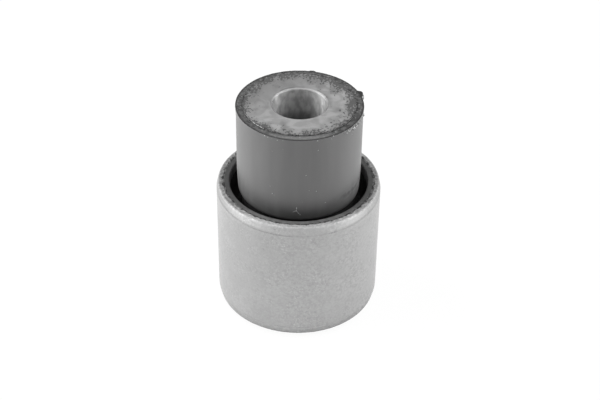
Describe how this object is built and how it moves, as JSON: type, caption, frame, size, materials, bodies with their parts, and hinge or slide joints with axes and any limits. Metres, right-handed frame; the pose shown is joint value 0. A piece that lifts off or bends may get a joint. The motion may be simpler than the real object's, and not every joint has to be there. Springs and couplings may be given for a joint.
{
  "type": "rubber metal bush",
  "caption": "Bonded rubber-metal bush: a thick steel inner tube in a rubber jacket, held by moulded rubber inside a shorter thin-walled steel outer sleeve.",
  "frame": {"origin": "centre of the inner tube's lower end face, which the bush stands on", "axes": "+Z along the bore, from the short end of the inner tube to its long end; the bush is round about Z, so X and Y are free"},
  "size_m": [0.045, 0.045, 0.0625],
  "materials": {
    "sleeve_steel": "matt zinc plating with a fine mottle",
    "tube_steel": "faced and chamfered, with dark specks of rubber film near the rim",
    "rubber": "black moulded natural rubber with a satin skin"
  },
  "bodies": {
    "root": {"outer_sleeve": "sleeve_steel", "inner_sleeve": "tube_steel", "rubber_body": "rubber"}
  },
  "joints": []
}
